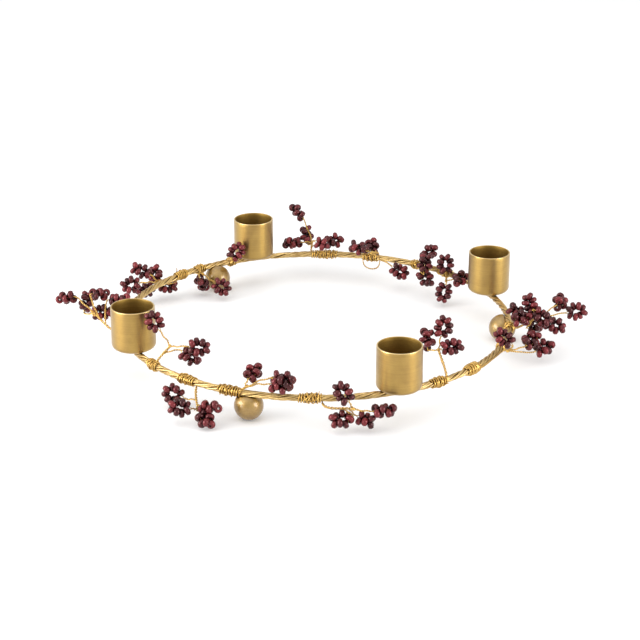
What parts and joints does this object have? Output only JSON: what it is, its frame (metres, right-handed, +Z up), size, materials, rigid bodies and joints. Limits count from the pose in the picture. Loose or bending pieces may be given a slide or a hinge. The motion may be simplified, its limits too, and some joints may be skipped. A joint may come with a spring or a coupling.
{
  "type": "candle ring",
  "caption": "Table candle ring: a twisted brass wire hoop on ball feet, with open cups for taper candles and sprigs of red glass beads on bendable wire.",
  "frame": {"origin": "on the table under the centre of the hoop", "axes": "+Z up out of the cups; the picture looks from the -Y side with +X to its right"},
  "size_m": [0.3142, 0.2682, 0.0462],
  "materials": {
    "hoop_brass": "antique satin",
    "cup_brass": "brushed antique",
    "ball_brass": "satin",
    "wire_gold": "bright wire",
    "bead_glass": "deep wine-red, glossy"
  },
  "bodies": {
    "ring": {"hoop_core": "hoop_brass", "hoop_wire_1": "hoop_brass", "hoop_wire_2": "hoop_brass", "hoop_wire_3": "hoop_brass", "hoop_wire_4": "hoop_brass", "hoop_wire_5": "hoop_brass", "hoop_wire_6": "hoop_brass", "tie_wire": "wire_gold", "cup_1": "cup_brass", "cup_2": "cup_brass", "cup_3": "cup_brass", "cup_4": "cup_brass", "foot_1": "ball_brass", "foot_2": "ball_brass", "foot_3": "ball_brass", "sprig_6_wire": "wire_gold", "sprig_6_beads": "bead_glass"},
    "sprig_1": {"sprig_1_wire": "wire_gold", "sprig_1_beads": "bead_glass"},
    "sprig_2": {"sprig_2_wire": "wire_gold", "sprig_2_beads": "bead_glass"},
    "sprig_3": {"sprig_3_wire": "wire_gold", "sprig_3_beads": "bead_glass"},
    "sprig_4": {"sprig_4_wire": "wire_gold", "sprig_4_beads": "bead_glass"},
    "sprig_5": {"sprig_5_wire": "wire_gold", "sprig_5_beads": "bead_glass"},
    "sprig_7": {"sprig_7_wire": "wire_gold", "sprig_7_beads": "bead_glass"},
    "sprig_8": {"sprig_8_wire": "wire_gold", "sprig_8_beads": "bead_glass"},
    "sprig_9": {"sprig_9_wire": "wire_gold", "sprig_9_beads": "bead_glass"},
    "sprig_10": {"sprig_10_wire": "wire_gold", "sprig_10_beads": "bead_glass"},
    "sprig_11": {"sprig_11_wire": "wire_gold", "sprig_11_beads": "bead_glass"},
    "sprig_12": {"sprig_12_wire": "wire_gold", "sprig_12_beads": "bead_glass"},
    "sprig_13": {"sprig_13_wire": "wire_gold", "sprig_13_beads": "bead_glass"},
    "sprig_14": {"sprig_14_wire": "wire_gold", "sprig_14_beads": "bead_glass"},
    "sprig_15": {"sprig_15_wire": "wire_gold", "sprig_15_beads": "bead_glass"}
  },
  "joints": [
    {"name": "sprig_1_turn", "type": "hinge", "parent": "ring", "child": "sprig_1", "pos_m": [-0.08965, -0.06879, 0.01599], "axis": [-0.6088, 0.7934, 0], "range_deg": [-15, 20]},
    {"name": "sprig_2_turn", "type": "hinge", "parent": "ring", "child": "sprig_2", "pos_m": [-0.06957, -0.08904, 0.01599], "axis": [-0.788, 0.6157, 0], "range_deg": [0, 35]},
    {"name": "sprig_3_turn", "type": "hinge", "parent": "ring", "child": "sprig_3", "pos_m": [-0.04596, -0.10323, 0.01599], "axis": [-0.9135, 0.4067, 0], "range_deg": [-25, 15]},
    {"name": "sprig_4_turn", "type": "hinge", "parent": "ring", "child": "sprig_4", "pos_m": [-0.00296, -0.11296, 0.01599], "axis": [-0.9997, 0.0262, 0], "range_deg": [-5, 25]},
    {"name": "sprig_5_turn", "type": "hinge", "parent": "ring", "child": "sprig_5", "pos_m": [0.06562, -0.09199, 0.01599], "axis": [-0.8141, -0.5807, 0], "range_deg": [-15, 25]},
    {"name": "sprig_7_turn", "type": "hinge", "parent": "ring", "child": "sprig_7", "pos_m": [0.11216, -0.01377, 0.01599], "axis": [-0.1219, -0.9925, 0], "range_deg": [0, 25]},
    {"name": "sprig_8_turn", "type": "hinge", "parent": "ring", "child": "sprig_8", "pos_m": [-0.11128, -0.01962, 0.01599], "axis": [-0.1736, 0.9848, 0], "range_deg": [-25, 20]},
    {"name": "sprig_9_turn", "type": "hinge", "parent": "ring", "child": "sprig_9", "pos_m": [-0.08528, 0.07414, 0.01599], "axis": [0.6561, 0.7547, 0], "range_deg": [-5, 20]},
    {"name": "sprig_10_turn", "type": "hinge", "parent": "ring", "child": "sprig_10", "pos_m": [-0.05478, 0.09883, 0.01599], "axis": [0.8746, 0.4848, 0], "range_deg": [-10, 25]},
    {"name": "sprig_11_turn", "type": "hinge", "parent": "ring", "child": "sprig_11", "pos_m": [-0.07414, 0.08528, 0.01599], "axis": [0.7547, 0.6561, 0], "range_deg": [-20, 0]},
    {"name": "sprig_12_turn", "type": "hinge", "parent": "ring", "child": "sprig_12", "pos_m": [0.00493, 0.11289, 0.01599], "axis": [0.999, -0.0436, 0], "range_deg": [-20, 20]},
    {"name": "sprig_13_turn", "type": "hinge", "parent": "ring", "child": "sprig_13", "pos_m": [0.03492, 0.10747, 0.01599], "axis": [0.9511, -0.309, 0], "range_deg": [-15, 15]},
    {"name": "sprig_14_turn", "type": "hinge", "parent": "ring", "child": "sprig_14", "pos_m": [0.064, 0.09313, 0.01599], "axis": [0.8241, -0.5664, 0], "range_deg": [-15, 15]},
    {"name": "sprig_15_turn", "type": "hinge", "parent": "ring", "child": "sprig_15", "pos_m": [0.0806, 0.0792, 0.01599], "axis": [0.7009, -0.7133, 0], "range_deg": [-20, 0]}
  ]
}
